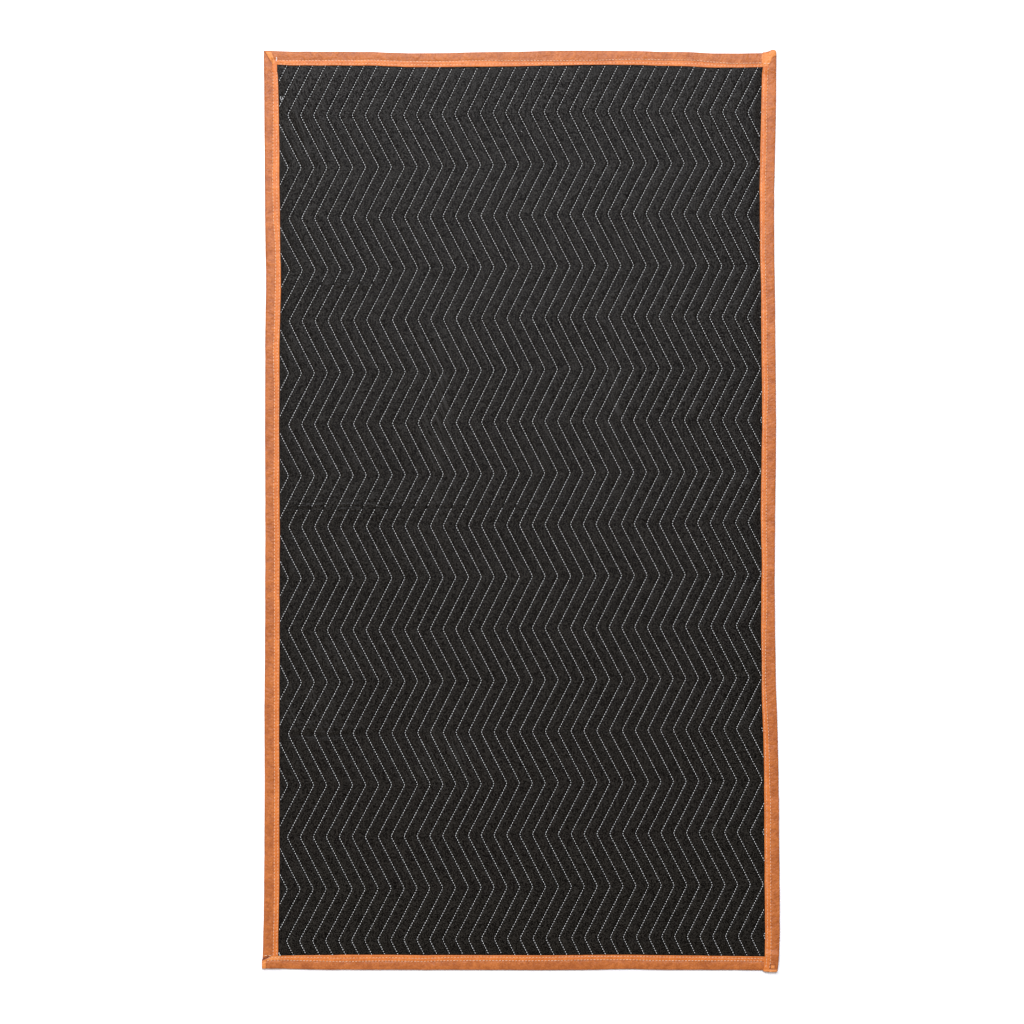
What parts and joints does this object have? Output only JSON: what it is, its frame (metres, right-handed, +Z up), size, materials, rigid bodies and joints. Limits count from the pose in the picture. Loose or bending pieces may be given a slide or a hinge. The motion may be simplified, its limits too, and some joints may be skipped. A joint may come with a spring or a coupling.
{
  "type": "moving blanket",
  "caption": "Quilted moving blanket lying flat: a thin rectangular pad sewn through in zigzag lines down its length, its edges bound with folded orange tape.",
  "frame": {"origin": "middle of the blanket's box on the surface it lies on", "axes": "+Y along the length towards the edge that is at the top of the picture, +X to the right across the width, +Z up out of the quilted face that shows"},
  "size_m": [1.0296, 1.8364, 0.009],
  "materials": {
    "pad": "black non-woven cloth, quilted with off-white thread, dull with a faint felted grain",
    "tape": "thin orange non-woven binding tape, matt, brighter where its hem lies double"
  },
  "bodies": {
    "root": {"quilted_pad": "pad", "binding_left_top": "tape", "binding_bottom": "tape", "binding_right": "tape"}
  },
  "joints": []
}
